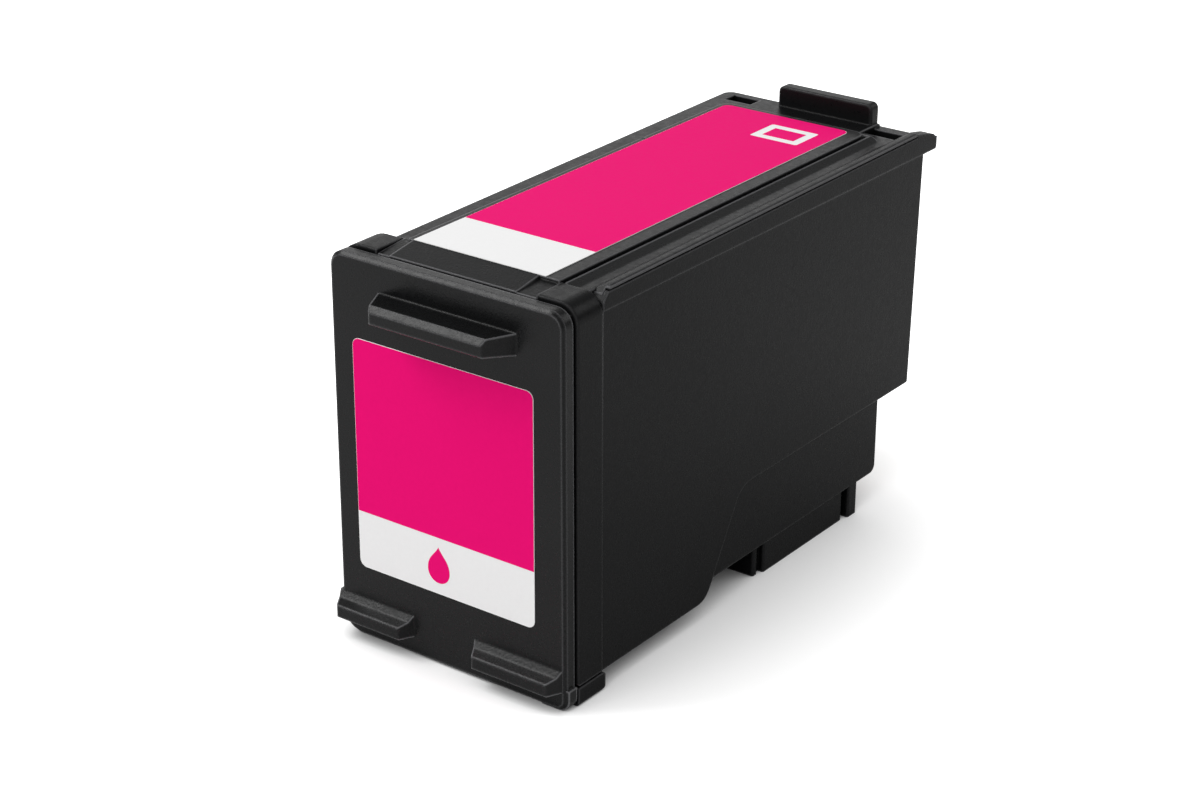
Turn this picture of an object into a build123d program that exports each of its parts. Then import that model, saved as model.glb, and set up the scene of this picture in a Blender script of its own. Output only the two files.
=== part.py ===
from build123d import *
import os

os.makedirs("parts", exist_ok=True)

# Overall frame in millimetres: X is centred on the plate, Y on the whole length, Z = 0 is the floor
grip_reach = 4.0
ear_tip = 79.3
plate_face = grip_reach - (grip_reach + ear_tip) / 2

# Planes all share the plate's front face as their zero: from the side, from the front and from above
side_plane = Plane(origin=(0, plate_face, 0), x_dir=(0, 1, 0), z_dir=(1, 0, 0))
front_plane = Plane(origin=(0, plate_face, 0), x_dir=(1, 0, 0), z_dir=(0, -1, 0))
top_plane = Plane(origin=(0, plate_face, 0), x_dir=(1, 0, 0), z_dir=(0, 0, 1))

# Heights at the top: the lid's seat sets them all, down to the top of the front plate
seat_height = 48.4
deck_thickness = 1.2
deck_height = seat_height + deck_thickness
channel_drop = 0.45
channel_floor = deck_height - channel_drop
rim_rise = 0.55
rim_top = deck_height + rim_rise
pad_rise = 0.39
pad_height = deck_height + pad_rise
collar_rise = 0.1
collar_top = deck_height + collar_rise
plate_drop = 0.45
plate_height = collar_top - plate_drop

# Front plate
plate_width = 34.0
plate_thickness = 1.7
plate_bevel = 0.42
plate_lean = 0.2
plate_left_corner = 3.0
plate_right_corner = 1.5
plate_high_corner = 2.1
shoe_height = 2.8
shoe_width = 4.0
shoe_reach = 0.35
shoe_edge = 0.25
peg_radius = 1.2
peg_length = 1.4
peg_clearance = 0.1
peg_side = 4.0
peg_rise = 7.0
peg_drop = 5.55
peg_x = plate_width / 2 - peg_side
peg_high = plate_height - peg_drop

# Lips and grip bar on the front plate, by their reach from it and their heights
ledge_root = 0.8
lip_reach = 2.0
lip_low = 2.5
lip_root = 2.85
lip_hollow = 2.1
lip_hollow_reach = 0.7
lip_tip = 1.65
left_lip_side = -0.1
left_lip_width = 11.55
right_lip_side = 0.5
right_lip_width = 12.8
lip_mitre = 1.0
lip_edge = 0.28
lip_corner = 0.45
left_lip_start = left_lip_side - plate_width / 2
left_lip_end = left_lip_start + left_lip_width
right_lip_end = plate_width / 2 - right_lip_side
right_lip_start = right_lip_end - right_lip_width
grip_middle = 0.375
grip_width = 19.9
grip_mitre = 1.9
grip_drop = 3.75
grip_root = 2.65
grip_slope = 0.5
grip_height = 1.45
grip_bevel = 0.65
grip_edge = 0.3
grip_start = grip_middle - grip_width / 2
grip_end = grip_middle + grip_width / 2
grip_high = plate_height - grip_drop
grip_low = grip_high - grip_root

# Collar and foot, which the plate covers from the front
collar_side = 0.3
collar_half = plate_width / 2 + collar_side
plate_groove = 0.4
collar_front = plate_thickness + plate_groove
collar_depth = 4.7
collar_rear = collar_front + collar_depth
collar_left_corner = 3.5
collar_right_corner = 2.4
collar_edge = 0.25
boss_inset = 0.8
foot_inset = 1.0
foot_left = foot_inset - plate_width / 2
foot_right = plate_width / 2 + shoe_reach
foot_width = foot_right - foot_left
foot_height = 2.4
foot_gap = 0.3
foot_toe = 0.4
foot_rear = collar_rear + foot_toe
foot_left_corner = 2.1
foot_right_corner = 0.5
foot_heel = 0.7
foot_edge = 0.4
front_wall_depth = 1.9
front_wall = collar_front + front_wall_depth
block_width = 5.5
block_inner = plate_width / 2 - block_width
wing_core_side = 1.1
wing_core_width = 1.8
wing_core_end = 3.0

# Main block of the body, seen from the side; its left wall stands in from the plate and tapers
wall = 1.5
body_right = plate_width / 2
left_inset_front = 4.3
left_inset_rear = 3.4
body_left_front = left_inset_front - plate_width / 2
body_left_rear = left_inset_rear - plate_width / 2
body_bottom = 2.34
bottom_bend = 3.0
slope_start = 28.4
slope_run = 7.4
slope_end = slope_start + slope_run
slope_bend = 3.4
step_height = 15.12
ear_reach = 2.72
rear_high = ear_tip - ear_reach
rear_draft = 1.0
rear_low = rear_high - rear_draft
rear_corner = 0.5
lower_edge = 0.3

# Snout under the step and the nose below it
snout_side = 0.6
snout_right = body_right - snout_side
snout_inset = 1.3
snout_left = body_left_rear + snout_inset
snout_bottom = 4.29
snout_setback = 6.6
snout_rear = rear_low - snout_setback
snout_round = 1.2
snout_edge = 0.35
nose_inset = 0.4
nose_left = snout_left + nose_inset
nose_right = snout_right - nose_inset
nose_setback = 4.55
nose_rear = snout_rear - nose_setback
post_depth = 2.1
post_front = nose_rear - post_depth
nose_length = 23.6
nose_front = nose_rear - nose_length
flange_depth = 1.0
groove_width = 0.8
groove_depth = 0.8
nose_body_front = nose_front + flange_depth + groove_width
nose_body_rear = post_front - groove_width - 0.2
nose_recess = 0.45
nose_edge = 0.25

# Side flange, rear ears and the raised right wall that locates the lid
flange_reach = 0.1
flange_right = body_right + flange_reach
flange_drop_front = 0.9
flange_drop_rear = 1.45
flange_bottom_front = seat_height - flange_drop_front
flange_bottom_rear = seat_height - flange_drop_rear
right_wall_width = 1.6
right_wall_inner = body_right - right_wall_width
wall_seat_rise = 0.7
right_wall_seat = seat_height + wall_seat_rise
wall_lip_rise = 1.15
right_lip_top = seat_height + wall_lip_rise
wall_lip_width = 0.45
right_lip_inner = body_right - wall_lip_width
shoulder_rise = 0.1
shoulder_run = 1.5
shoulder_low = seat_height + shoulder_rise
beam_drop = 1.4
beam_seat = seat_height - beam_drop
beam_depth = 5.28
beam_front = rear_high - beam_depth
ear_length = 4.9
ear_start = ear_tip - ear_length
ear_edge = 0.35
ear_nose = 0.35
ear_shoulder = 2.0
ear_rise = 1.5
ear_bow = 1.0
ear_end = 0.2
left_ear_height = 1.0
left_ear_slope = 2.2

# Lid
lid_gap = 0.1
lid_overhang = 0.3
lid_left_front = body_left_front - lid_overhang
lid_left_rear = body_left_rear - lid_overhang
lid_rear = rear_high + lid_overhang
lid_corner = 1.6
lid_edge = 0.6
channel_width = 2.2
channel_start = right_wall_inner - channel_width
rim_width = 1.15
rim_outer = body_right + 0.1
rim_inner = rim_outer - rim_width
rim_shadow = 0.25
rim_bevel = 0.3
rim_rear = ear_start - lid_gap
tongue_front = collar_front + lid_gap
tongue_drop = 0.4
tongue_ramp = 0.45
band_left = -9.65
band_right = 8.6
band_drop = 0.68
pad_left = -10.35
pad_slope = 1.8
pad_ledge = 0.6
ledge_corner = 1.1
pad_right = channel_start - pad_slope
pad_front = collar_rear - 0.45
pad_groove = 0.3
pad_corner = 1.6
skirt_height = 1.3
skirt_thickness = 1.0
skirt_clearance = 0.15
pocket_depth = 2.0
pocket_floor = deck_height - pocket_depth
pocket_length = 2.4
pocket_setback = 1.45
pocket_rear = lid_rear - pocket_setback
pocket_front = pocket_rear - pocket_length
pad_setback = 2.1
pad_rear = pocket_front - pad_setback
left_pocket_start = -11.8
left_pocket_width = 4.1
right_pocket_start = 10.0
right_pocket_width = 4.5
fin_middle = 2.55
fin_width = 14.3
fin_right = fin_middle + fin_width / 2
fin_thickness = 1.9
fin_front = lid_rear - fin_thickness
fin_rise = 2.75
fin_top = deck_height + fin_rise
fin_corner = 0.8
fin_edge = 0.3

# Labels: a white film with a thin layer of ink on it
film = 0.08
ink = 0.02
ink_border = 0.05
label_round = 1.0
front_label_left = -13.69
front_label_width = 26.33
front_label_low = 9.59
front_label_gap = 3.71
front_label_height = grip_low - front_label_gap - front_label_low
front_white = 7.37
drop_x = -1.47
drop_rise = 3.06
drop_radius = 1.63
drop_height = 3.05
top_label_half = 9.53
top_label_front = pad_front
top_label_margin = 0.9
top_label_rear = pad_rear - top_label_margin
top_white = 9.25
symbol_x = 3.53
symbol_setback = 6.15
symbol_width = 7.05
symbol_length = 5.5
symbol_line = 1.2
symbol_round = 0.35

# Ink path: standpipe, filter and slot, all centred on the nose
head_x = (nose_left + nose_right) / 2
head_y = (nose_body_front + nose_body_rear) / 2
standpipe_rise = 3.4
standpipe_top = snout_bottom + wall + standpipe_rise
standpipe_width = 9.0
standpipe_length = 16.0
standpipe_wall = 1.3
screen_thickness = 0.2
screen_border = 0.2
screen_round = 0.6
slot_width = 1.2
slot_length = 12.6
foam_clearance = 0.2
foam_headroom = 1.8
foam_top = seat_height - foam_headroom
plug_radius = 1.5
plug_x = -3.0
plug_y = 30.0
plug_depth = 1.2
plug_clearance = 0.02
plug_recess = 0.2
plug_bevel = 0.25
fill_bore_radius = 1.0
vent_radius = 0.5
vent_x = 5.0
vent_y = 40.0
vent_groove = 0.4
vent_width = 0.7
vent_run = 12.0
vent_pitch = 2.4

# Printhead in the nose
die_width = 3.4
die_length = 14.2
die_thickness = 0.65
die_slot_width = 0.4
die_slot_end = 0.5
glue_border = 0.6
glue_thickness = 0.15
plate_foil = 0.05
foil_border = 0.15
bead_width = 4.6
bead_length = 1.3
bead_gap = 0.35
bead_offset = die_length / 2 + bead_gap + bead_length / 2
bead_bottom = 0.25
bead_round = 0.5
bead_edge = 0.25
window_side = 0.4
window_end = 0.05
window_width = bead_width + 2 * window_side
window_length = 2 * bead_offset + bead_length + 2 * window_end
die_pocket_side = 0.5
die_pocket_end = 0.7
die_pocket_width = window_width + 2 * die_pocket_side
die_pocket_length = window_length + 2 * die_pocket_end
die_pocket_roof = 1.35
flex_width = 19.0
flex_thickness = 0.12
flex_border = 1.45
flex_front = head_y - window_length / 2 - flex_border
flex_top = 13.9
flex_bend = 0.3
flex_clearance = 0.01
flex_room = 0.5
pad_size = 1.3
pad_foil = 0.03
pad_columns = 8
pad_rows = 4
pad_pitch = 2.1
pad_low_row = 6.1

# Cavity of the body, drawn from the side: the same block, shrunk, becomes the foam
def hollow(inset, top):
    floor = body_bottom + wall + inset
    shelf = snout_bottom + wall + inset
    back_low = rear_low - wall - inset
    back_high = rear_high - wall - inset
    snout_back = snout_rear - wall - inset
    step = step_height + wall + inset
    shift = wall + inset
    with BuildPart() as block:
        with BuildSketch(side_plane.offset(body_left_rear + wall + inset)):
            with BuildLine():
                Polyline(
                    (front_wall + inset, floor),
                    (slope_start - shift, floor),
                    (slope_end - shift, step),
                    (back_low, step),
                    (back_high, top),
                    (front_wall + inset, top),
                    close=True,
                )
            make_face()
        extrude(amount=body_right - body_left_rear - 2 * wall - 2 * inset)
        with BuildSketch(side_plane.offset(snout_left + wall + inset)):
            with BuildLine():
                Polyline(
                    (slope_start - shift, shelf),
                    (snout_back, shelf),
                    (snout_back, step + 1),
                    (slope_start - shift, step + 1),
                    close=True,
                )
            make_face()
        extrude(amount=snout_right - snout_left - 2 * wall - 2 * inset)
        with BuildSketch(top_plane):
            with BuildLine():
                Polyline(
                    (body_left_rear, 0),
                    (body_left_front + wall + inset, 0),
                    (body_left_front + wall + inset, front_wall),
                    (body_left_rear + wall + inset, rear_high),
                    (body_left_rear, rear_high),
                    close=True,
                )
            make_face()
        extrude(amount=top, mode=Mode.SUBTRACT)
    return block.part


# A ledge that stands out of the plate: its profile from the side, cut to its outline from above
def ledge(profile, rounds, start, end, reach, mitre):
    with BuildPart() as bar:
        with BuildSketch(side_plane.offset(start)):
            with BuildLine():
                FilletPolyline(*profile, radius=rounds, close=True)
            make_face()
        extrude(amount=end - start)
        with BuildSketch(top_plane):
            with BuildLine():
                FilletPolyline(
                    (start, ledge_root),
                    (start, 0),
                    (start + mitre, -reach),
                    (end - mitre, -reach),
                    (end, 0),
                    (end, ledge_root),
                    radius=(0, 0, lip_corner, lip_corner, 0, 0),
                    close=True,
                )
            make_face()
        extrude(amount=plate_height, mode=Mode.INTERSECT)
    return bar.part


lip_profile = (
    (ledge_root, lip_low),
    (-lip_reach, lip_low),
    (-lip_reach, lip_low + lip_tip),
    (-lip_hollow_reach, lip_low + lip_hollow),
    (0, lip_low + lip_root),
    (ledge_root, lip_low + lip_root),
)
lip_rounds = (0, lip_edge, lip_edge, 0, 0, 0)
grip_profile = (
    (ledge_root, grip_low),
    (0, grip_low),
    (-grip_reach, grip_low + grip_slope),
    (-grip_reach, grip_low + grip_slope + grip_height),
    (grip_bevel - grip_reach, grip_high),
    (ledge_root, grip_high),
)
grip_rounds = (0, 0, grip_edge, 0, 0, 0)
left_lip = ledge(lip_profile, lip_rounds, left_lip_start, left_lip_end, lip_reach, lip_mitre)
right_lip = ledge(lip_profile, lip_rounds, right_lip_start, right_lip_end, lip_reach, lip_mitre)
grip = ledge(grip_profile, grip_rounds, grip_start, grip_end, grip_reach, grip_mitre)

# The corner that is cut off the right wall and the rim, so that both rise gently behind the collar
with BuildPart() as shoulder:
    with BuildSketch(side_plane.offset(right_wall_inner - lid_gap)):
        with BuildLine():
            Polyline(
                (collar_rear, shoulder_low),
                (collar_rear + shoulder_run, rim_top),
                (collar_rear + shoulder_run, rim_top + 1),
                (collar_rear, rim_top + 1),
                close=True,
            )
        make_face()
    extrude(amount=flange_right - right_wall_inner + 1)

# Front plate: one flat moulding with a bevel all round its face; its right side leans in a little
with BuildPart() as front_plate:
    with BuildSketch(front_plane) as plate_outline:
        with BuildLine():
            Polyline(
                (-plate_width / 2, 0),
                (plate_width / 2, 0),
                (plate_width / 2 - plate_lean, plate_height),
                (-plate_width / 2, plate_height),
                close=True,
            )
        make_face()
        fillet(plate_outline.vertices().group_by(Axis.Y)[-1], radius=plate_high_corner)
        low_corners = plate_outline.vertices().group_by(Axis.Y)[0]
        fillet(low_corners.sort_by(Axis.X)[0], radius=plate_left_corner)
        low_corners = plate_outline.vertices().group_by(Axis.Y)[0]
        fillet(low_corners.sort_by(Axis.X)[-1], radius=plate_right_corner)
    extrude(amount=-plate_thickness)
    chamfer(front_plate.faces().sort_by(Axis.Y)[0].edges(), length=plate_bevel)

    # Shoe: a block at the lower right corner that stands a little proud of the plate's side
    with BuildSketch(front_plane.offset(-plate_thickness)) as shoe_outline:
        with Locations((plate_width / 2 + shoe_reach - shoe_width / 2, shoe_height / 2)):
            Rectangle(shoe_width, shoe_height)
        fillet(shoe_outline.vertices().group_by(Axis.Y)[0].sort_by(Axis.X)[-1], radius=plate_right_corner)
    extrude(amount=plate_thickness - shoe_edge)

    # Two lips near the foot of the plate, and the grip bar near the top
    add((left_lip, right_lip, grip))

    # Pegs on the back, which sit in the body's blind holes
    with BuildSketch(front_plane.offset(-plate_thickness)):
        with Locations((-peg_x, peg_high), (peg_x, peg_high), (-peg_x, peg_rise), (peg_x, peg_rise)):
            Circle(peg_radius)
    extrude(amount=-peg_length)
front_plate.part.label = "front_plate"
export_step(front_plate.part, "parts/front_plate.step")


# Foot under the collar, whose left corner is rounded to stay behind the plate's
with BuildPart() as foot:
    with BuildSketch(front_plane.offset(-collar_front)) as foot_outline:
        with Locations(((foot_left + foot_right) / 2, foot_height / 2)):
            Rectangle(foot_width, foot_height)
        fillet(foot_outline.vertices().group_by(Axis.Y)[0].sort_by(Axis.X)[0], radius=foot_left_corner)
        fillet(foot_outline.vertices().group_by(Axis.Y)[0].sort_by(Axis.X)[-1], radius=foot_right_corner)
    extrude(amount=collar_front - foot_rear)
    with BuildSketch(side_plane.offset(foot_left)):
        with BuildLine():
            FilletPolyline(
                (collar_front, 0),
                (foot_rear, 0),
                (foot_rear, foot_height),
                (collar_front, foot_height),
                radius=(0, foot_heel, foot_edge, 0),
                close=True,
            )
        make_face()
    extrude(amount=foot_width, mode=Mode.INTERSECT)

# Collar behind the plate, joined to the foot by a neck that leaves a shadow line
with BuildPart() as collar:
    with BuildSketch(front_plane.offset(-collar_front)) as collar_outline:
        with BuildLine():
            Polyline(
                (-collar_half, foot_height + foot_gap),
                (collar_half, foot_height + foot_gap),
                (collar_half - plate_lean, collar_top),
                (-collar_half, collar_top),
                close=True,
            )
        make_face()
        high_corners = collar_outline.vertices().group_by(Axis.Y)[-1]
        fillet(high_corners.sort_by(Axis.X)[0], radius=collar_left_corner)
        high_corners = collar_outline.vertices().group_by(Axis.Y)[-1]
        fillet(high_corners.sort_by(Axis.X)[-1], radius=collar_right_corner)
    extrude(amount=collar_front - collar_rear)
    fillet(collar.faces().sort_by(Axis.Y)[0].outer_wire().edges(), radius=collar_edge)
    fillet(collar.faces().sort_by(Axis.Y)[-1].outer_wire().edges(), radius=collar_edge)
    with BuildSketch(top_plane.offset(foot_height / 2)):
        with Locations((0, (collar_front + collar_rear) / 2)):
            Rectangle(foot_width - 2 * boss_inset, collar_rear - collar_front - boss_inset)
    extrude(amount=foot_height / 2 + foot_gap)
    add(foot.part)

# Body shell: main block with its sloping underside and the drafted rear wall
with BuildPart() as body_shell:
    with BuildSketch(side_plane.offset(body_left_rear)):
        with BuildLine():
            FilletPolyline(
                (collar_rear, body_bottom),
                (slope_start, body_bottom),
                (slope_end, step_height),
                (rear_low, step_height),
                (rear_high, seat_height),
                (collar_rear, seat_height),
                radius=(0, bottom_bend, slope_bend, 0, 0, 0),
                close=True,
            )
        make_face()
    extrude(amount=body_right - body_left_rear)
    with BuildSketch(top_plane):
        with BuildLine():
            Polyline(
                (body_left_rear, 0),
                (body_left_front, 0),
                (body_left_front, collar_rear),
                (body_left_rear, rear_high),
                close=True,
            )
        make_face()
    extrude(amount=seat_height, mode=Mode.SUBTRACT)
    rear_edges = body_shell.faces().sort_by(Axis.Y)[-1].edges().sort_by(Axis.X)
    fillet((rear_edges[0], rear_edges[-1]), radius=rear_corner)
    side_edges = body_shell.faces().filter_by(Axis.X).sort_by(Axis.X)[-1].edges()
    fillet(side_edges.filter_by_position(Axis.Z, 0, step_height + 1), radius=lower_edge)

    # Snout under the step
    with BuildSketch(side_plane.offset(snout_left)):
        with BuildLine():
            FilletPolyline(
                (slope_start + 0.1, snout_bottom),
                (snout_rear, snout_bottom),
                (snout_rear, step_height + 1),
                (slope_start + 0.1, step_height + 1),
                radius=(0, snout_round, 0, 0),
                close=True,
            )
        make_face()
    extrude(amount=snout_right - snout_left)
    snout_edges = body_shell.edges().filter_by_position(Axis.X, snout_right - 0.01, snout_right + 0.01)
    snout_edges = snout_edges.filter_by_position(
        Axis.Y, plate_face + nose_body_front, plate_face + snout_rear + 1
    )
    fillet(snout_edges.filter_by_position(Axis.Z, 0, step_height - 1), radius=snout_edge)

    # Nose: front flange, groove, head block, groove and rear post, all standing on the floor
    for left, right, front, rear in (
        (nose_left + nose_inset, nose_right - nose_inset, nose_front, nose_front + flange_depth),
        (nose_left + groove_depth, nose_right - groove_depth, nose_front, post_front),
        (nose_left, nose_right, nose_body_front, nose_body_rear),
        (snout_left, snout_right, post_front, nose_rear),
    ):
        with BuildSketch(top_plane) as nose_section:
            with Locations(((left + right) / 2, (front + rear) / 2)):
                Rectangle(right - left, rear - front)
            fillet(nose_section.vertices(), radius=nose_edge)
        extrude(amount=snout_bottom + 0.5)

    # Front wall behind the plate, and the collar around it
    with BuildSketch(front_plane.offset(-plate_thickness)):
        with Locations((0, (boss_inset + seat_height) / 2)):
            Rectangle(plate_width - 2 * boss_inset, seat_height - boss_inset)
    extrude(amount=plate_thickness - front_wall)
    add(collar.part)

    # Side flange that runs back into the right ear, and the left ear
    with BuildSketch(side_plane.offset(right_wall_inner)):
        with BuildLine():
            FilletPolyline(
                (collar_rear, right_lip_top),
                (collar_rear, flange_bottom_front),
                (rear_high, flange_bottom_rear),
                (ear_tip, flange_bottom_rear),
                (ear_tip, seat_height + ear_end),
                (ear_tip - ear_nose, seat_height + ear_end),
                radius=(0, 0, ear_edge, 0),
            )
            Spline(
                (ear_tip - ear_nose, seat_height + ear_end),
                (ear_tip - ear_shoulder, seat_height + ear_bow),
                (ear_start, seat_height + ear_rise),
                tangents=((-0.6, 1), (-1, 0.1)),
            )
            Polyline(
                (ear_start, seat_height + ear_rise),
                (ear_start, right_lip_top),
                (collar_rear, right_lip_top),
            )
        make_face()
    extrude(amount=flange_right - right_wall_inner)
    with BuildSketch(side_plane.offset(body_left_rear)):
        with BuildLine():
            FilletPolyline(
                (beam_front, flange_bottom_rear),
                (ear_tip, flange_bottom_rear),
                (ear_tip, flange_bottom_rear + left_ear_height),
                (ear_tip - left_ear_slope, seat_height),
                (beam_front, seat_height),
                radius=(0, 0.4, 0.3, 0.3, 0),
                close=True,
            )
        make_face()
    extrude(amount=wall)

    # Cavity for the foam, open at the top
    add(hollow(0, seat_height), mode=Mode.SUBTRACT)

    # Notch in the collar for the lid's tongue
    with BuildSketch(front_plane.offset(-plate_thickness)):
        with Locations((0, (seat_height + collar_top) / 2)):
            Rectangle(2 * block_inner, collar_top - seat_height)
    extrude(amount=plate_thickness - collar_rear, mode=Mode.SUBTRACT)

    # Ledge along the right wall for the lid's rim
    with BuildSketch(top_plane.offset(right_wall_seat)):
        with Locations(((right_wall_inner + right_lip_inner) / 2, (collar_rear + ear_start) / 2)):
            Rectangle(right_lip_inner - right_wall_inner, ear_start - collar_rear)
    extrude(amount=right_lip_top - right_wall_seat, mode=Mode.SUBTRACT)
    add(shoulder.part, mode=Mode.SUBTRACT)

    # Rear wall lowered between the side walls for the lid's beam
    beam_left = body_left_rear + wall
    with BuildSketch(top_plane.offset(beam_seat)):
        with Locations(((beam_left + right_wall_inner) / 2, (beam_front + lid_rear) / 2)):
            Rectangle(right_wall_inner - beam_left, lid_rear - beam_front + 1)
    extrude(amount=seat_height - beam_seat + 1, mode=Mode.SUBTRACT)

    # Blind holes for the plate's pegs, and the cored left wing of the collar
    with BuildSketch(front_plane.offset(-plate_thickness)):
        with Locations((-peg_x, peg_high), (peg_x, peg_high), (-peg_x, peg_rise), (peg_x, peg_rise)):
            Circle(peg_radius + peg_clearance)
        with Locations((wing_core_side + wing_core_width / 2 - plate_width / 2, (peg_rise + peg_high) / 2)):
            Rectangle(wing_core_width, peg_high - peg_rise - 2 * wing_core_end)
    extrude(amount=-peg_length - peg_clearance, mode=Mode.SUBTRACT)

    # Standpipe above the nose, its chamber and the ink slot down to the chip
    with BuildSketch(top_plane.offset(snout_bottom + wall)):
        with Locations((head_x, head_y)):
            Rectangle(standpipe_width, standpipe_length)
    extrude(amount=standpipe_top - snout_bottom - wall)
    with BuildSketch(top_plane.offset(snout_bottom + wall)):
        with Locations((head_x, head_y)):
            Rectangle(standpipe_width - 2 * standpipe_wall, standpipe_length - 2 * standpipe_wall)
    extrude(amount=standpipe_top - snout_bottom - wall, mode=Mode.SUBTRACT)
    with BuildSketch(top_plane):
        with Locations((head_x, head_y)):
            Rectangle(slot_width, slot_length)
    extrude(amount=snout_bottom + wall, mode=Mode.SUBTRACT)

    # Recess under the nose for the film circuit, with the deeper pocket for the chip
    with BuildSketch(top_plane):
        with Locations((head_x, (flex_front + nose_rear) / 2)):
            Rectangle(flex_width + 2 * flex_room, nose_rear - flex_front + 2 * flex_room)
    extrude(amount=nose_recess, mode=Mode.SUBTRACT)
    with BuildSketch(top_plane):
        with Locations((head_x, head_y)):
            Rectangle(die_pocket_width, die_pocket_length)
    extrude(amount=die_pocket_roof, mode=Mode.SUBTRACT)
    wrap_edges = body_shell.edges().filter_by(Axis.X).filter_by_position(
        Axis.Y, plate_face + nose_rear - 0.01, plate_face + nose_rear + 0.01
    )
    fillet(wrap_edges.sort_by(Axis.Z)[0:3].sort_by(Edge.length)[-1], radius=flex_bend)
body_shell.part.label = "body_shell"
export_step(body_shell.part, "parts/body_shell.step")

# Lid: a flat deck that rests on the body's walls
with BuildPart() as lid:
    with BuildSketch(top_plane.offset(seat_height)) as deck_outline:
        with BuildLine():
            Polyline(
                (lid_left_front, collar_rear + lid_gap),
                (right_wall_inner - lid_gap, collar_rear + lid_gap),
                (right_wall_inner - lid_gap, lid_rear),
                (lid_left_rear, lid_rear),
                close=True,
            )
        make_face()
        fillet(deck_outline.vertices().sort_by_distance((lid_left_rear, lid_rear))[0], radius=lid_corner)
    extrude(amount=deck_height - seat_height)
    rear_top = lid.faces().sort_by(Axis.Y)[-1].edges().sort_by(Axis.Z)[-1]
    fillet(rear_top, radius=lid_edge)

    # Channel along the right side, wider behind the pad, and the slope down to it
    ledge_rear = pad_rear + pad_ledge
    with BuildSketch(top_plane.offset(channel_floor)) as channel_outline:
        with Locations(((channel_start + right_wall_inner) / 2, (collar_rear + lid_rear) / 2)):
            Rectangle(right_wall_inner - channel_start, lid_rear - collar_rear)
        with Locations(((fin_right + fin_edge + channel_start) / 2, (ledge_rear + lid_rear) / 2)):
            Rectangle(channel_start - fin_right - fin_edge, lid_rear - ledge_rear)
        inner_corner = channel_outline.vertices().sort_by_distance((channel_start, ledge_rear))[0]
        fillet(inner_corner, radius=ledge_corner)
    extrude(amount=1, mode=Mode.SUBTRACT)
    with BuildSketch(front_plane.offset(-collar_rear)):
        with BuildLine():
            Polyline(
                (pad_right + pad_groove, deck_height),
                (channel_start, channel_floor),
                (channel_start, deck_height),
                close=True,
            )
        make_face()
    extrude(amount=collar_rear - ledge_rear, mode=Mode.SUBTRACT)

    # Rim that laps over the body's right wall, undercut on the outside for the shadow line
    with BuildSketch(front_plane.offset(-collar_rear - lid_gap)):
        with BuildLine():
            Polyline(
                (right_wall_inner - 1.0, seat_height + 0.2),
                (right_wall_inner - 1.0, channel_floor),
                (rim_inner, rim_top - 0.1),
                (rim_inner + 0.2, rim_top),
                (rim_outer - rim_bevel, rim_top),
                (rim_outer, rim_top - rim_bevel),
                (rim_outer, right_lip_top + rim_shadow),
                (right_lip_inner - lid_gap, right_lip_top + rim_shadow),
                (right_lip_inner - lid_gap, right_wall_seat),
                (right_wall_inner - lid_gap, right_wall_seat),
                (right_wall_inner - lid_gap, seat_height + 0.2),
                close=True,
            )
        make_face()
    extrude(amount=collar_rear + lid_gap - rim_rear)
    add(shoulder.part, mode=Mode.SUBTRACT)

    # Tongue between the collar blocks, with the raised band that ramps up to the label
    tongue_half = block_inner - lid_gap
    tongue_top = deck_height - tongue_drop
    for left, right, rise_front, rise_rear, rear in (
        (-tongue_half, tongue_half, tongue_top, tongue_top + tongue_ramp, collar_rear + 0.2),
        (band_left, band_right, pad_height - band_drop, pad_height, pad_front + 0.1),
    ):
        with BuildSketch(side_plane.offset(left)):
            with BuildLine():
                Polyline(
                    (tongue_front, seat_height),
                    (rear, seat_height),
                    (rear, rise_rear),
                    (tongue_front, rise_front),
                    close=True,
                )
            make_face()
        extrude(amount=right - left)

    # Raised pad for the label, with a narrow groove round its foot
    with BuildSketch(top_plane.offset(deck_height - 0.3)):
        with Locations(((pad_left + pad_right) / 2, (pad_front + pad_rear + pad_groove) / 2)):
            Rectangle(pad_right - pad_left + 2 * pad_groove, pad_rear + pad_groove - pad_front)
    extrude(amount=1, mode=Mode.SUBTRACT)
    with BuildSketch(top_plane.offset(deck_height - 0.4)) as pad_outline:
        with Locations(((pad_left + pad_right) / 2, (pad_front + pad_rear) / 2)):
            Rectangle(pad_right - pad_left, pad_rear - pad_front)
        fillet(pad_outline.vertices().group_by(Axis.Y)[-1], radius=pad_corner)
    extrude(amount=pad_height - deck_height + 0.4)

    # Beam under the deck's rear end, and the skirt that locates the lid in the body
    with BuildSketch(top_plane.offset(beam_seat)):
        with Locations(((beam_left + right_wall_inner) / 2, (beam_front + rear_high) / 2)):
            Rectangle(right_wall_inner - beam_left - 2 * lid_gap, rear_high - beam_front - 2 * lid_gap)
    extrude(amount=seat_height - beam_seat + 0.1)
    with BuildSketch(top_plane.offset(seat_height - skirt_height)) as skirt_outline:
        with BuildLine():
            Polyline(
                (body_left_front + wall + skirt_clearance, front_wall + skirt_clearance),
                (body_right - wall - skirt_clearance, front_wall + skirt_clearance),
                (body_right - wall - skirt_clearance, beam_front + 1),
                (body_left_rear + wall + skirt_clearance, beam_front + 1),
                close=True,
            )
        make_face()
        offset(amount=-skirt_thickness, kind=Kind.INTERSECTION, mode=Mode.SUBTRACT)
    extrude(amount=skirt_height)

    # Two pockets in the rear end
    with BuildSketch(top_plane.offset(pocket_floor)):
        with Locations((left_pocket_start + left_pocket_width / 2, (pocket_front + pocket_rear) / 2)):
            Rectangle(left_pocket_width, pocket_length)
        with Locations((right_pocket_start + right_pocket_width / 2, (pocket_front + pocket_rear) / 2)):
            Rectangle(right_pocket_width, pocket_length)
    extrude(amount=fin_top - pocket_floor, mode=Mode.SUBTRACT)

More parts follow.
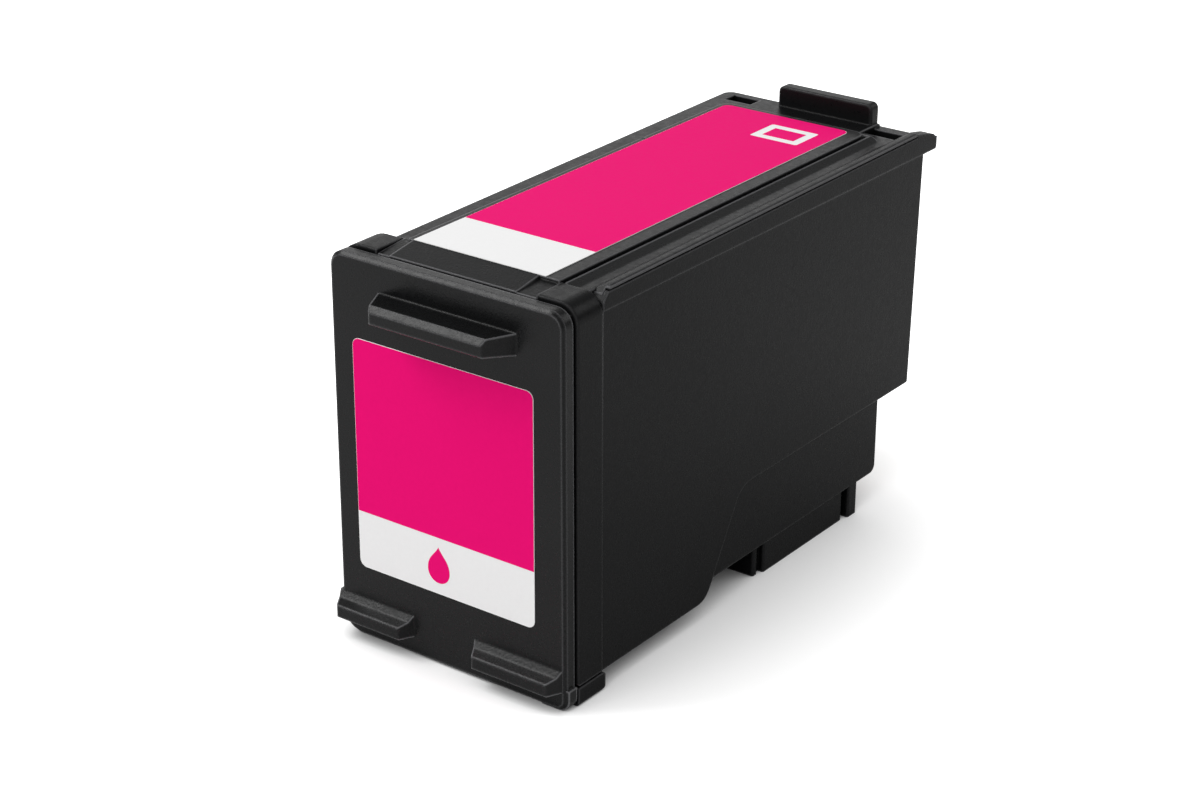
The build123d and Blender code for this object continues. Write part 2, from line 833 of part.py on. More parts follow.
    # Upright latch fin on the rear edge
    with BuildSketch(front_plane.offset(-fin_front)) as fin_outline:
        with Locations((fin_middle, (seat_height + fin_top) / 2)):
            Rectangle(fin_width, fin_top - seat_height)
        fillet(fin_outline.vertices().group_by(Axis.Y)[-1], radius=fin_corner)
    extrude(amount=fin_front - lid_rear)
    fin_edges = lid.edges().filter_by(Axis.X).sort_by(Axis.Z)[-2:]
    fillet(fin_edges, radius=fin_edge)

    # Filling hole under the label, and the vent with its winding groove
    with BuildSketch(top_plane.offset(pad_height)):
        with Locations((plug_x, plug_y)):
            Circle(plug_radius)
    extrude(amount=-plug_depth, mode=Mode.SUBTRACT)
    with BuildSketch(top_plane.offset(pad_height)):
        with Locations((plug_x, plug_y)):
            Circle(fill_bore_radius)
        with Locations((vent_x, vent_y)):
            Circle(vent_radius)
    extrude(amount=-2 * deck_thickness, mode=Mode.SUBTRACT)
    with BuildSketch(top_plane.offset(pad_height - vent_groove)):
        with BuildLine():
            Polyline(
                (vent_x, vent_y),
                (vent_x, vent_y + vent_run),
                (vent_x - vent_pitch, vent_y + vent_run),
                (vent_x - vent_pitch, vent_y),
                (vent_x - 2 * vent_pitch, vent_y),
                (vent_x - 2 * vent_pitch, vent_y + vent_run),
                (pad_left - pad_groove, vent_y + vent_run),
            )
        trace(line_width=vent_width)
    extrude(amount=1, mode=Mode.SUBTRACT)
lid.part.label = "lid"
export_step(lid.part, "parts/lid.step")

# Front label: a white film with rounded corners, and its ink
label_middle = front_label_left + front_label_width / 2
with BuildPart() as front_label:
    with BuildSketch(front_plane):
        with Locations((label_middle, front_label_low + front_label_height / 2)):
            RectangleRounded(front_label_width, front_label_height, label_round)
    extrude(amount=film)
front_label.part.label = "front_label"
export_step(front_label.part, "parts/front_label.step")

with BuildPart() as front_print:
    with BuildSketch(front_plane.offset(film)) as front_ink:
        with Locations((label_middle, front_label_low + front_label_height / 2)):
            RectangleRounded(
                front_label_width - 2 * ink_border,
                front_label_height - 2 * ink_border,
                label_round - ink_border,
            )
        with Locations((label_middle, front_label_low + front_white / 2)):
            Rectangle(front_label_width, front_white, mode=Mode.SUBTRACT)
        drop_z = front_label_low + drop_rise
        drop_apex = drop_z + drop_height
        with BuildLine():
            ThreePointArc(
                (drop_x - drop_radius, drop_z),
                (drop_x, drop_z - drop_radius),
                (drop_x + drop_radius, drop_z),
            )
            Spline(
                (drop_x + drop_radius, drop_z),
                (drop_x, drop_apex),
                tangents=((0, 1), (-0.5, 1)),
            )
            Spline(
                (drop_x, drop_apex),
                (drop_x - drop_radius, drop_z),
                tangents=((-0.5, -1), (0, -1)),
            )
        make_face()
    extrude(amount=ink)
front_print.part.label = "front_print"
export_step(front_print.part, "parts/front_print.step")

# Top label: the same film and ink, lying on the lid's pad
with BuildPart() as top_label:
    with BuildSketch(top_plane.offset(pad_height)) as top_film:
        with Locations((0, (top_label_front + top_label_rear) / 2)):
            Rectangle(2 * top_label_half, top_label_rear - top_label_front)
        fillet(top_film.vertices().group_by(Axis.Y)[-1], radius=label_round + ink_border)
    extrude(amount=film)
top_label.part.label = "top_label"
export_step(top_label.part, "parts/top_label.step")

with BuildPart() as top_print:
    with BuildSketch(top_plane.offset(pad_height + film)) as top_ink:
        top_white_rear = top_label_front + top_white
        with Locations((0, (top_white_rear + top_label_rear - ink_border) / 2)):
            Rectangle(2 * (top_label_half - ink_border), top_label_rear - ink_border - top_white_rear)
        fillet(top_ink.vertices().group_by(Axis.Y)[-1], radius=label_round)
        with Locations((symbol_x, top_label_rear - symbol_setback)):
            RectangleRounded(symbol_width, symbol_length, symbol_round, mode=Mode.SUBTRACT)
            Rectangle(symbol_width - 2 * symbol_line, symbol_length - 2 * symbol_line)
    extrude(amount=ink)
top_print.part.label = "top_print"
export_step(top_print.part, "parts/top_print.step")

# Foam block, a little smaller than the cavity, pressed on the filter
with BuildPart() as ink_foam:
    add(hollow(foam_clearance, foam_top))
    with BuildSketch(top_plane):
        with Locations((head_x, head_y)):
            Rectangle(standpipe_width + 2 * foam_clearance, standpipe_length + 2 * foam_clearance)
    extrude(amount=standpipe_top + screen_thickness, mode=Mode.SUBTRACT)
ink_foam.part.label = "ink_foam"
export_step(ink_foam.part, "parts/ink_foam.step")

# Filter screen on the standpipe's rim
with BuildPart() as filter_screen:
    with BuildSketch(top_plane.offset(standpipe_top)):
        with Locations((head_x, head_y)):
            RectangleRounded(
                standpipe_width - 2 * screen_border, standpipe_length - 2 * screen_border, screen_round
            )
    extrude(amount=screen_thickness)
filter_screen.part.label = "filter_screen"
export_step(filter_screen.part, "parts/filter_screen.step")

# Plug pressed into the filling hole
with BuildPart() as fill_plug:
    with BuildSketch(top_plane.offset(pad_height - plug_depth)):
        with Locations((plug_x, plug_y)):
            Circle(plug_radius - plug_clearance)
    extrude(amount=plug_depth - plug_recess)
    chamfer(fill_plug.faces().sort_by(Axis.Z)[-1].edges(), length=plug_bevel)
fill_plug.part.label = "fill_plug"
export_step(fill_plug.part, "parts/fill_plug.step")

# Printhead stack in the nose, from the pocket's roof down: glue frame, chip and orifice plate
glue_bottom = die_pocket_roof - glue_thickness
die_bottom = glue_bottom - die_thickness
with BuildPart() as die_adhesive:
    with BuildSketch(top_plane.offset(glue_bottom)):
        with Locations((head_x, head_y)):
            RectangleRounded(die_width + glue_border, die_length + glue_border, glue_border / 2)
            Rectangle(slot_width, slot_length, mode=Mode.SUBTRACT)
    extrude(amount=glue_thickness)
die_adhesive.part.label = "die_adhesive"
export_step(die_adhesive.part, "parts/die_adhesive.step")

with BuildPart() as printhead_die:
    with BuildSketch(top_plane.offset(die_bottom)):
        with Locations((head_x, head_y)):
            Rectangle(die_width, die_length)
            Rectangle(die_slot_width, slot_length - 2 * die_slot_end, mode=Mode.SUBTRACT)
    extrude(amount=die_thickness)
printhead_die.part.label = "printhead_die"
export_step(printhead_die.part, "parts/printhead_die.step")

with BuildPart() as nozzle_plate:
    with BuildSketch(top_plane.offset(die_bottom - plate_foil)):
        with Locations((head_x, head_y)):
            Rectangle(die_width + 2 * foil_border, die_length + 2 * foil_border)
    extrude(amount=plate_foil)
nozzle_plate.part.label = "nozzle_plate"
export_step(nozzle_plate.part, "parts/nozzle_plate.step")

# Film circuit, wrapped from the nose's recess round to the snout's rear face
flex_middle = flex_clearance + flex_thickness / 2
with BuildPart() as flex_circuit:
    with BuildSketch(side_plane.offset(head_x - flex_width / 2)):
        with BuildLine():
            FilletPolyline(
                (flex_front, nose_recess - flex_middle),
                (nose_rear + flex_middle, nose_recess - flex_middle),
                (nose_rear + flex_middle, snout_bottom - flex_middle),
                (snout_rear + flex_middle, snout_bottom - flex_middle),
                (snout_rear + flex_middle, flex_top),
                radius=(flex_bend + flex_middle, flex_bend, snout_round + flex_middle),
            )
        trace(line_width=flex_thickness)
    extrude(amount=flex_width)
    with BuildSketch(top_plane):
        with Locations((head_x, head_y)):
            Rectangle(window_width, window_length)
    extrude(amount=nose_recess, mode=Mode.SUBTRACT)
flex_circuit.part.label = "flex_circuit"
export_step(flex_circuit.part, "parts/flex_circuit.step")

with BuildPart() as contact_pads:
    with BuildSketch(front_plane.offset(-snout_rear - flex_clearance - flex_thickness)):
        with Locations((head_x, pad_low_row + (pad_rows - 1) * pad_pitch / 2)):
            with GridLocations(pad_pitch, pad_pitch, pad_columns, pad_rows):
                Rectangle(pad_size, pad_size)
    extrude(amount=-pad_foil)
contact_pads.part.label = "contact_pads"
export_step(contact_pads.part, "parts/contact_pads.step")

# Sealing beads over the leads at the two ends of the chip
for bead_name, end in (("bead_front", -1), ("bead_rear", 1)):
    with BuildPart() as bead:
        with BuildSketch(top_plane.offset(bead_bottom)):
            with Locations((head_x, head_y + end * bead_offset)):
                RectangleRounded(bead_width, bead_length, bead_round)
        extrude(amount=die_pocket_roof - bead_bottom)
        chamfer(bead.faces().sort_by(Axis.Z)[0].edges(), length=bead_edge)
    bead.part.label = bead_name
    export_step(bead.part, "parts/" + bead_name + ".step")
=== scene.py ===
import math

import bpy
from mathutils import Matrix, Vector


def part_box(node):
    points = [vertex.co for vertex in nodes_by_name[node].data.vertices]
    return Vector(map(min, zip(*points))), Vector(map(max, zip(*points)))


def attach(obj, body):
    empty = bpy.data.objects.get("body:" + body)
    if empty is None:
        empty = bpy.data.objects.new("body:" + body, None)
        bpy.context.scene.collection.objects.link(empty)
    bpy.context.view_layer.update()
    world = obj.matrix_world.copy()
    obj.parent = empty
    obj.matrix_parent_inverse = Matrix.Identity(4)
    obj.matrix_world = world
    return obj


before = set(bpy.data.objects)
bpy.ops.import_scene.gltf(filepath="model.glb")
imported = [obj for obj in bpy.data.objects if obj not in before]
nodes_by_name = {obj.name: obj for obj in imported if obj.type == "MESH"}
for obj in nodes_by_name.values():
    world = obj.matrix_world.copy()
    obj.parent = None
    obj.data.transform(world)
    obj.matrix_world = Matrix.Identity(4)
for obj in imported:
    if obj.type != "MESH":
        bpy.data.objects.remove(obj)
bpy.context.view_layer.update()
bpy.context.scene.view_settings.view_transform = "Standard"


# Body shell: the tank, the collar behind the front plate, the snout and the nose, in one moulding.
# Black plastic, injected into a steel mould whose spark-eroded walls leave a fine grain.
# The other pieces are built up on it.
def start_material(name):
    """A new node material: returns it with its nodes, its links and its Principled shader."""
    material = bpy.data.materials.new(name)
    material.use_nodes = True
    tree = material.node_tree
    return material, tree.nodes, tree.links, tree.nodes["Principled BSDF"]


def add_noise(nodes, links, coords, scale, detail=2.0, stretch=(1.0, 1.0, 1.0)):
    """A noise field on the object's own coordinates, with its scale per metre."""
    mapping = nodes.new("ShaderNodeMapping")
    mapping.inputs["Scale"].default_value = stretch
    links.new(coords, mapping.inputs["Vector"])
    noise = nodes.new("ShaderNodeTexNoise")
    noise.inputs["Scale"].default_value = scale
    noise.inputs["Detail"].default_value = detail
    links.new(mapping.outputs["Vector"], noise.inputs["Vector"])
    return noise.outputs["Fac"]


def add_range(nodes, links, value, from_low, from_high, to_low, to_high):
    """Spreads a stretch of a field over a new range."""
    spread = nodes.new("ShaderNodeMapRange")
    spread.inputs["From Min"].default_value = from_low
    spread.inputs["From Max"].default_value = from_high
    spread.inputs["To Min"].default_value = to_low
    spread.inputs["To Max"].default_value = to_high
    links.new(value, spread.inputs["Value"])
    return spread.outputs["Result"]


def add_tint(nodes, links, value, dark, light):
    """Blends two colours by a field."""
    ramp = nodes.new("ShaderNodeValToRGB")
    ramp.color_ramp.elements[0].color = (*dark, 1.0)
    ramp.color_ramp.elements[1].color = (*light, 1.0)
    links.new(value, ramp.inputs["Fac"])
    return ramp.outputs["Color"]


def add_blend(nodes, links, mask, base, shade):
    """Lays one even shade over a colour, as far as a mask goes."""
    blend = nodes.new("ShaderNodeMix")
    blend.data_type = "RGBA"
    links.new(mask, blend.inputs["Factor"])
    links.new(base, blend.inputs["A"])
    blend.inputs["B"].default_value = (*shade, 1.0)
    return blend.outputs["Result"]


def add_bump(nodes, links, height, distance, normal=None):
    """A bump of that many metres, on top of an earlier one where given."""
    bump = nodes.new("ShaderNodeBump")
    bump.inputs["Distance"].default_value = distance
    links.new(height, bump.inputs["Height"])
    if normal is not None:
        links.new(normal, bump.inputs["Normal"])
    return bump.outputs["Normal"]


def moulded_plastic(name, shades, roughness, grain_height, edge_round, gloss, edge_highlight_tone):
    """Satin moulded plastic: fine grain, faint flow marks, outer edges eased, and a painted highlight
    that lightens the colour along outer edges.
    """
    material, nodes, links, shader = start_material(name)
    coords = nodes.new("ShaderNodeTexCoord").outputs["Object"]
    grain = add_noise(nodes, links, coords, 3800, 3.0)
    speckle = add_noise(nodes, links, coords, 1500, 2.0)
    flow = add_noise(nodes, links, coords, 45, 3.0, (1.0, 0.45, 1.0))
    tint = add_tint(nodes, links, add_range(nodes, links, flow, 0.35, 0.65, 0.0, 1.0), *shades)
    rough = add_range(nodes, links, speckle, 0.3, 0.7, *roughness)
    links.new(rough, shader.inputs["Roughness"])
    eased = nodes.new("ShaderNodeBevel")
    eased.samples = 6
    eased.inputs["Radius"].default_value = edge_round
    flow_height = 0.00006
    waves = add_bump(nodes, links, flow, flow_height, eased.outputs["Normal"])
    links.new(add_bump(nodes, links, grain, grain_height, waves), shader.inputs["Normal"])
    # Painted highlight: the inside occlusion finds the outer edges, and the base colour is lightened
    # there to stand in for glints along them.
    corner = nodes.new("ShaderNodeAmbientOcclusion")
    corner.inside = True
    corner.only_local = True
    corner.samples = 8
    corner.inputs["Distance"].default_value = 0.65 * edge_round
    edge = add_range(nodes, links, corner.outputs["AO"], 0.95, 0.65, 0.0, 1.0)
    painted_edge_colour = add_blend(nodes, links, edge, tint, (edge_highlight_tone, edge_highlight_tone, 1.04 * edge_highlight_tone))
    links.new(painted_edge_colour, shader.inputs["Base Color"])
    shader.inputs["Specular IOR Level"].default_value = gloss
    return material


def dress(node, material):
    """Gives a CAD node its finish, in place of the one it was packed with."""
    piece = nodes_by_name[node]
    piece.data.materials.clear()
    piece.data.materials.append(material)


black_shades = ((0.0046, 0.0048, 0.0051), (0.006, 0.0062, 0.0065))
mould_edge = 0.0004
body_plastic = moulded_plastic(
    "body_plastic",
    black_shades,
    roughness=(0.24, 0.36),
    grain_height=0.000018,
    edge_round=mould_edge,
    gloss=0.085,
    edge_highlight_tone=0.07,
)
dress("body_shell", body_plastic)


# Filter screen: a piece of fine woven steel mesh that keeps dirt out of the printhead.
# It is welded to the rim of the tank's standpipe before the foam goes in.
filter_mesh, nodes, links, shader = start_material("filter_mesh")
coords = nodes.new("ShaderNodeTexCoord").outputs["Object"]
weave_height = None
wire_bands = 1900
for direction in ("X", "Y"):
    wires = nodes.new("ShaderNodeTexWave")
    wires.bands_direction = direction
    wires.inputs["Scale"].default_value = wire_bands
    links.new(coords, wires.inputs["Vector"])
    weave_height = add_bump(nodes, links, wires.outputs["Fac"], 0.00002, weave_height)
links.new(weave_height, shader.inputs["Normal"])
tarnish = add_noise(nodes, links, coords, 900)
steel = add_tint(nodes, links, tarnish, (0.42, 0.42, 0.43), (0.62, 0.62, 0.63))
links.new(steel, shader.inputs["Base Color"])
links.new(add_range(nodes, links, tarnish, 0.3, 0.7, 0.25, 0.45), shader.inputs["Roughness"])
shader.inputs["Metallic"].default_value = 1.0
dress("filter_screen", filter_mesh)


# Ink foam: a block of open-cell foam that fills the tank and holds the ink in its pores.
# It is pushed in from above, down over the standpipe, until it rests on the filter screen.
wet_foam, nodes, links, shader = start_material("wet_foam")
coords = nodes.new("ShaderNodeTexCoord").outputs["Object"]
pores = nodes.new("ShaderNodeTexVoronoi")
pores.inputs["Scale"].default_value = 2200
links.new(coords, pores.inputs["Vector"])
soaked = add_tint(nodes, links, pores.outputs["Distance"], (0.12, 0.002, 0.03), (0.42, 0.01, 0.11))
links.new(soaked, shader.inputs["Base Color"])
links.new(add_bump(nodes, links, pores.outputs["Distance"], 0.00025), shader.inputs["Normal"])
damp = add_noise(nodes, links, coords, 160)
links.new(add_range(nodes, links, damp, 0.35, 0.65, 0.3, 0.8), shader.inputs["Roughness"])
dress("ink_foam", wet_foam)


# Lid: a flat moulding with the label's raised pad, a channel, a rear beam and the latch fin.
# The same black plastic as the body, a touch glossier, welded onto the tank's rim.
lid_plastic = moulded_plastic(
    "lid_plastic",
    black_shades,
    roughness=(0.26, 0.38),
    grain_height=0.00002,
    edge_round=mould_edge,
    gloss=0.125,
    edge_highlight_tone=0.13,
)
dress("lid", lid_plastic)


# Fill plug: a small plug of soft grey plastic that closes the lid's filling hole.
# It is pressed in once the tank is full, and the top label covers it.
plug_plastic = moulded_plastic(
    "plug_plastic",
    ((0.07, 0.07, 0.072), (0.1, 0.1, 0.103)),
    roughness=(0.5, 0.62),
    grain_height=0.00001,
    edge_round=0.0001,
    gloss=0.35,
    edge_highlight_tone=0.14,
)
dress("fill_plug", plug_plastic)


# Printhead: a silicon chip in the nose's pocket, under which lies a gold-plated orifice foil.
# A frame of dark glue holds the chip, and the foil is bonded to the chip's lower face.
# The foil's two rows of nozzles are too small to model, so its material shades them.
def plain_finish(name, dark, light, rough_low, rough_high, scale, height):
    """A small part's finish: two shades and a roughness that drift over its surface."""
    material, nodes, links, shader = start_material(name)
    coords = nodes.new("ShaderNodeTexCoord").outputs["Object"]
    drift = add_noise(nodes, links, coords, scale, 3.0)
    links.new(add_tint(nodes, links, drift, dark, light), shader.inputs["Base Color"])
    links.new(add_range(nodes, links, drift, 0.3, 0.7, rough_low, rough_high), shader.inputs["Roughness"])
    links.new(add_bump(nodes, links, drift, height), shader.inputs["Normal"])
    return material, nodes, links, shader


def add_maths(nodes, links, operation, *values):
    """One step of arithmetic on sockets and numbers."""
    step = nodes.new("ShaderNodeMath")
    step.operation = operation
    for socket, value in zip(step.inputs, values):
        if isinstance(value, float):
            socket.default_value = value
        else:
            links.new(value, socket)
    return step.outputs["Value"]


die_glue, nodes, links, shader = plain_finish(
    "die_glue", (0.02, 0.018, 0.017), (0.045, 0.04, 0.038), 0.35, 0.6, 1200, 0.00002
)
dress("die_adhesive", die_glue)

silicon, nodes, links, shader = plain_finish(
    "silicon", (0.12, 0.12, 0.14), (0.2, 0.2, 0.23), 0.12, 0.25, 700, 0.000002
)
shader.inputs["Metallic"].default_value = 0.6
dress("printhead_die", silicon)

orifice_foil, nodes, links, shader = plain_finish(
    "orifice_foil", (0.66, 0.46, 0.19), (0.8, 0.6, 0.3), 0.18, 0.32, 1500, 0.000004
)
shader.inputs["Metallic"].default_value = 1.0
nozzle_pitch = 0.00017
nozzle_radius = 0.00003
row_gap = 0.0011
place = nodes.new("ShaderNodeSeparateXYZ")
links.new(nodes["Texture Coordinate"].outputs["Object"], place.inputs["Vector"])
foil_low, foil_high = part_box("nozzle_plate")
off_middle = add_maths(nodes, links, "SUBTRACT", place.outputs["X"], (foil_low[0] + foil_high[0]) / 2)
off_middle = add_maths(nodes, links, "ABSOLUTE", off_middle)
off_row = add_maths(nodes, links, "SUBTRACT", off_middle, row_gap / 2)
off_nozzle = add_maths(nodes, links, "PINGPONG", place.outputs["Y"], nozzle_pitch / 2)
squares = [add_maths(nodes, links, "MULTIPLY", part, part) for part in (off_row, off_nozzle)]
hole = add_maths(nodes, links, "LESS_THAN", add_maths(nodes, links, "ADD", *squares), nozzle_radius**2)
metal = shader.inputs["Base Color"].links[0].from_socket
links.new(add_blend(nodes, links, hole, metal, (0.01, 0.008, 0.008)), shader.inputs["Base Color"])
dress("nozzle_plate", orifice_foil)


# Film circuit: amber polyimide film that carries the chip's wiring, with gold-plated contact pads.
# It is glued under the nose and up the snout's rear face, where the printer's springs touch the pads.
film_amber, nodes, links, shader = plain_finish(
    "film_amber", (0.42, 0.15, 0.02), (0.56, 0.23, 0.04), 0.22, 0.36, 220, 0.00001
)
shader.inputs["Coat Weight"].default_value = 0.4
shader.inputs["Coat Roughness"].default_value = 0.15
dress("flex_circuit", film_amber)

pad_gold, nodes, links, shader = plain_finish(
    "pad_gold", (0.74, 0.52, 0.2), (0.9, 0.68, 0.32), 0.22, 0.42, 2600, 0.000003
)
shader.inputs["Metallic"].default_value = 1.0
dress("contact_pads", pad_gold)


# Tracks: the film's copper lines, etched on it, from the pads round the snout to the chip's leads.
# The middle ones end at the rear bead, and the others pass the chip and turn in to the front bead.
film_low, film_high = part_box("flex_circuit")
pads_low, pads_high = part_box("contact_pads")
track_middle = (pads_low[0] + pads_high[0]) / 2
track_pitch = 0.00105
track_width = 0.00028
track_height = 0.00004
tracks_a_side = 7
middle_tracks_a_side = 2
outermost_lead = 0.0022
snout_level = 0.00416
snout_foot_depth = 0.00455
nose_back = film_high[1] - snout_foot_depth
lead_gap = 0.0001
leads_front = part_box("bead_front")[0][1] - lead_gap
leads_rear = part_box("bead_rear")[1][1] + lead_gap
top_row_drop = 0.0006
pad_overlap = 0.0002
turn_step = 0.0002
lead_step = 0.0004
snout_bend = 0.00133
nook_bend = 0.00024
nose_bend = 0.00043
turn_bend = 0.0001
track_points = []
track_edges = []
track_bends = []
for number in range(-tracks_a_side, tracks_a_side + 1):
    at = track_middle + number * track_pitch
    # A line between two columns of pads climbs to the top row, one at a column to the lowest
    top = pads_high[2] - top_row_drop if number % 2 == 0 else pads_low[2] + pad_overlap
    route = [
        (at, film_high[1], top, 0.0),
        (at, film_high[1], snout_level, snout_bend),
        (at, nose_back, snout_level, nook_bend),
        (at, nose_back, film_low[2], nose_bend),
    ]
    rank = abs(number) - middle_tracks_a_side
    if rank <= 0:
        route.append((at, leads_rear, film_low[2], 0.0))
    else:
        turn_in = leads_front - rank * turn_step
        lead = track_middle + math.copysign(outermost_lead - (rank - 1) * lead_step, number)
        route += [
            (at, turn_in, film_low[2], turn_bend),
            (lead, turn_in, film_low[2], turn_bend),
            (lead, leads_front, film_low[2], 0.0),
        ]
    first = len(track_points)
    track_points += [point[:3] for point in route]
    track_bends += [point[3] for point in route]
    track_edges += [(k, k + 1) for k in range(first, first + len(route) - 1)]
routes_mesh = bpy.data.meshes.new("track_routes")
routes_mesh.from_pydata(track_points, track_edges, [])
routes_mesh.attributes.new("bend", "FLOAT", "POINT").data.foreach_set("value", track_bends)

copper, nodes, links, shader = plain_finish(
    "copper", (0.62, 0.28, 0.1), (0.78, 0.4, 0.17), 0.25, 0.4, 2600, 0.000003
)
shader.inputs["Metallic"].default_value = 1.0

tracks_tree = bpy.data.node_groups.new("film_tracks", "GeometryNodeTree")
sockets = tracks_tree.interface
sockets.new_socket("Geometry", in_out="INPUT", socket_type="NodeSocketGeometry")
width_input = sockets.new_socket("Track Width", in_out="INPUT", socket_type="NodeSocketFloat")
height_input = sockets.new_socket("Track Height", in_out="INPUT", socket_type="NodeSocketFloat")
sockets.new_socket("Geometry", in_out="OUTPUT", socket_type="NodeSocketGeometry")
nodes, links = tracks_tree.nodes, tracks_tree.links
given = nodes.new("NodeGroupInput")
result = nodes.new("NodeGroupOutput")
lines = nodes.new("GeometryNodeMeshToCurve")
links.new(given.outputs["Geometry"], lines.inputs["Mesh"])
bends = nodes.new("GeometryNodeInputNamedAttribute")
bends.data_type = "FLOAT"
bends.inputs["Name"].default_value = "bend"
rounded = nodes.new("GeometryNodeFilletCurve")
rounded.mode = "POLY"
rounded.inputs["Count"].default_value = 4
rounded.inputs["Limit Radius"].default_value = True
links.new(lines.outputs["Curve"], rounded.inputs["Curve"])
links.new(bends.outputs["Attribute"], rounded.inputs["Radius"])
section = nodes.new("GeometryNodeCurvePrimitiveQuadrilateral")
links.new(given.outputs["Track Width"], section.inputs["Width"])
links.new(given.outputs["Track Height"], section.inputs["Height"])
strips = nodes.new("GeometryNodeCurveToMesh")
strips.inputs["Fill Caps"].default_value = True
links.new(rounded.outputs["Curve"], strips.inputs["Curve"])
links.new(section.outputs["Curve"], strips.inputs["Profile Curve"])
whole = nodes.new("GeometryNodeRealizeInstances")
links.new(strips.outputs["Mesh"], whole.inputs["Geometry"])
painted = nodes.new("GeometryNodeSetMaterial")
painted.inputs["Material"].default_value = copper
links.new(whole.outputs["Geometry"], painted.inputs["Geometry"])
links.new(painted.outputs["Geometry"], result.inputs["Geometry"])

film_tracks = bpy.data.objects.new("film_tracks", routes_mesh)
bpy.context.scene.collection.objects.link(film_tracks)
builder = film_tracks.modifiers.new("tracks", "NODES")
builder.node_group = tracks_tree
builder[width_input.identifier] = track_width
builder[height_input.identifier] = track_height
drawn_tracks = film_tracks.evaluated_get(bpy.context.evaluated_depsgraph_get())
tracks_mesh = bpy.data.meshes.new_from_object(drawn_tracks)
film_tracks.modifiers.remove(builder)
film_tracks.data = tracks_mesh
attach(film_tracks, "root")


# Sealing beads: a bead of black resin at each end of the chip, over the leads of the film circuit.
# It is run on as a liquid that fills the gap, and cures glossy.
bead_resin, nodes, links, shader = plain_finish(
    "bead_resin", (0.012, 0.012, 0.013), (0.022, 0.022, 0.024), 0.12, 0.25, 900, 0.00003
)
for bead in ("bead_front", "bead_rear"):
    dress(bead, bead_resin)


# Front plate: a separate moulding with the grip bar and two lips, of the same black plastic.
# Four pegs on its rear face sit in holes in the collar.
plate_plastic = moulded_plastic(
    "plate_plastic",
    black_shades,
    roughness=(0.22, 0.32),
    grain_height=0.00002,
    edge_round=mould_edge,
    gloss=0.18,
    edge_highlight_tone=0.17,
)
dress("front_plate", plate_plastic)


# Labels: white film with a satin face, stuck to the front plate and to the lid's pad.
# The magenta ink is printed over most of the film and leaves the white band and the border.
label_film, nodes, links, shader = plain_finish(
    "label_film", (0.84, 0.84, 0.84), (0.88, 0.88, 0.88), 0.42, 0.55, 1800, 0.000006
)
shader.inputs["Specular IOR Level"].default_value = 0.1
magenta_ink, nodes, links, shader = plain_finish(
    "magenta_ink", (0.81, 0.0045, 0.163), (0.86, 0.006, 0.178), 0.4, 0.52, 1800, 0.000006
)
shader.inputs["Specular IOR Level"].default_value = 0.01
for label in ("front_label", "top_label"):
    dress(label, label_film)
for print_layer in ("front_print", "top_print"):
    dress(print_layer, magenta_ink)


# Studio: a pale floor that keeps the shadow, a white world and five soft boxes.
# The floor's glow turns it white for the camera and lights nothing. Reflections get a share of it,
# so that they show a floor of about strength 1. It fades close to the object, as a contact shadow.
floor_reach = 3.0
floor_mesh = bpy.data.meshes.new("floor")
floor_mesh.from_pydata(
    [
        (-floor_reach, -floor_reach, 0),
        (floor_reach, -floor_reach, 0),
        (floor_reach, floor_reach, 0),
        (-floor_reach, floor_reach, 0),
    ],
    [],
    [(0, 1, 2, 3)],
)
floor = bpy.data.objects.new("floor", floor_mesh)
bpy.context.scene.collection.objects.link(floor)
floor_paint, nodes, links, shader = start_material("floor_paint")
nodes.remove(shader)
matte = nodes.new("ShaderNodeBsdfDiffuse")
matte.inputs["Color"].default_value = (0.68, 0.68, 0.68, 1.0)
floor_glow = 1.22
mirrored_share = 0.25
shadow_reach = 0.045
shadow_depth = 1.8
ray = nodes.new("ShaderNodeLightPath")
mirrored = add_maths(nodes, links, "MULTIPLY", ray.outputs["Is Glossy Ray"], mirrored_share)
seen = add_maths(nodes, links, "MAXIMUM", ray.outputs["Is Camera Ray"], mirrored)
seen = add_maths(nodes, links, "MAXIMUM", seen, ray.outputs["Is Transmission Ray"])
open_sky = nodes.new("ShaderNodeAmbientOcclusion")
open_sky.inputs["Distance"].default_value = shadow_reach
open_sky.samples = 16
faded = add_maths(nodes, links, "POWER", open_sky.outputs["AO"], shadow_depth)
lit = add_maths(nodes, links, "MULTIPLY", seen, faded)
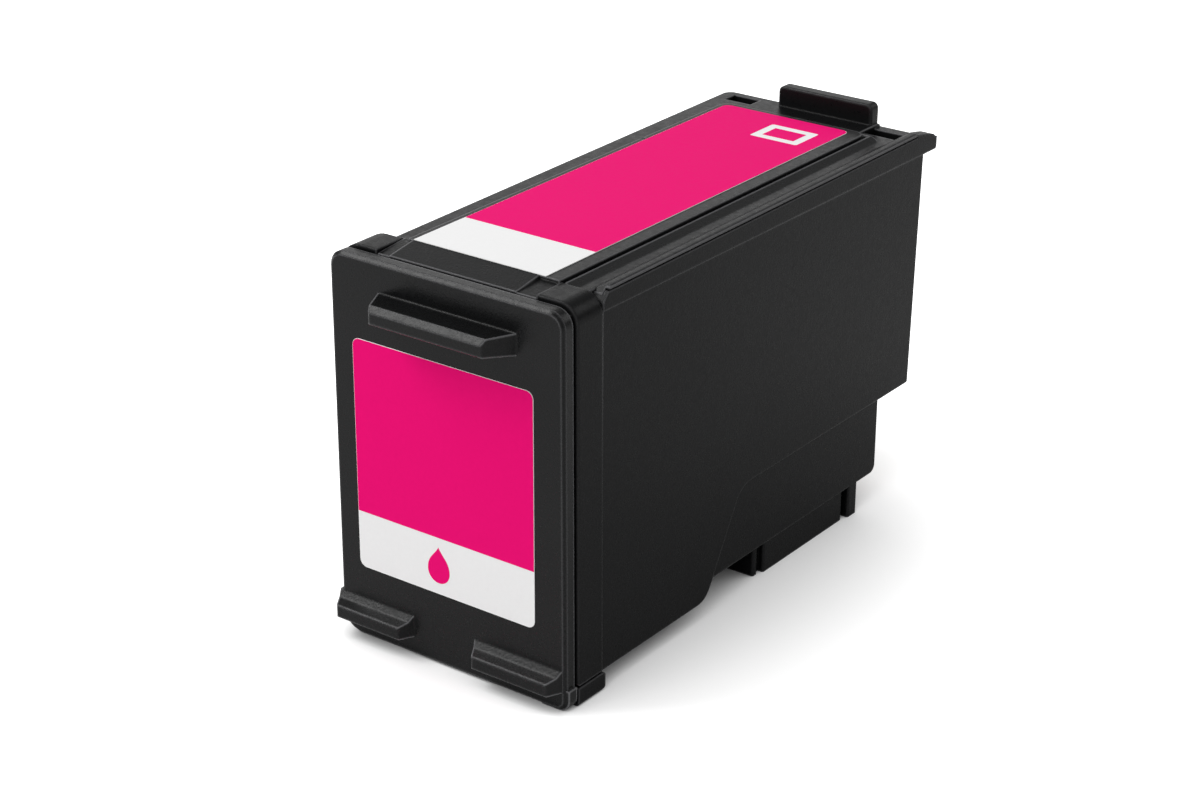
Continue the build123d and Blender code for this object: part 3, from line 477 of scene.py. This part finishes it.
glow = nodes.new("ShaderNodeEmission")
links.new(add_maths(nodes, links, "MULTIPLY", lit, floor_glow), glow.inputs["Strength"])
both = nodes.new("ShaderNodeAddShader")
links.new(matte.outputs["BSDF"], both.inputs[0])
links.new(glow.outputs["Emission"], both.inputs[1])
links.new(both.outputs["Shader"], nodes["Material Output"].inputs["Surface"])
floor_mesh.materials.append(floor_paint)

world = bpy.data.worlds.new("studio_world")
world.use_nodes = True
world.node_tree.nodes["Background"].inputs["Color"].default_value = (1.0, 1.0, 1.0, 1.0)
world.node_tree.nodes["Background"].inputs["Strength"].default_value = 0.36
bpy.context.scene.world = world


def soft_box(name, place, aim, width, height, watts):
    """A rectangular studio light at a place, aimed at a point."""
    light = bpy.data.lights.new(name, "AREA")
    light.shape = "RECTANGLE"
    light.size = width
    light.size_y = height
    light.energy = watts
    lamp = bpy.data.objects.new(name, light)
    lamp.location = place
    lamp.rotation_euler = (Vector(aim) - Vector(place)).to_track_quat("-Z", "Y").to_euler()
    bpy.context.scene.collection.objects.link(lamp)


centre = (0.0, 0.0, 0.025)
soft_box("high_left_box", (-0.5, -0.3, 0.65), centre, 0.4, 0.4, 4.3)
soft_box("front_box", (0.0, -0.8, 0.4), centre, 0.7, 0.5, 2.25)
soft_box("overhead_box", (-0.15, 0.1, 0.75), centre, 0.9, 0.7, 0.45)
soft_box("back_left_box", (-0.55, 0.6, 0.35), centre, 0.6, 0.4, 0.6)
soft_box("back_right_box", (0.45, 0.75, 0.5), centre, 0.5, 0.4, 1.2)


# Camera: the photograph's own view, from the right front and above, with a long lens.
# Its place, turn and lens were fitted to the corners of the object in the photograph.
lens = bpy.data.cameras.new("camera")
lens.lens = 78.43
lens.sensor_width = 36.0
lens.clip_start = 0.01
camera = bpy.data.objects.new("camera", lens)
camera.location = (0.17385, -0.24373, 0.15494)
camera.rotation_euler = (math.radians(65.9548), math.radians(-0.2393), math.radians(36.5488))
bpy.context.scene.collection.objects.link(camera)
bpy.context.scene.camera = camera
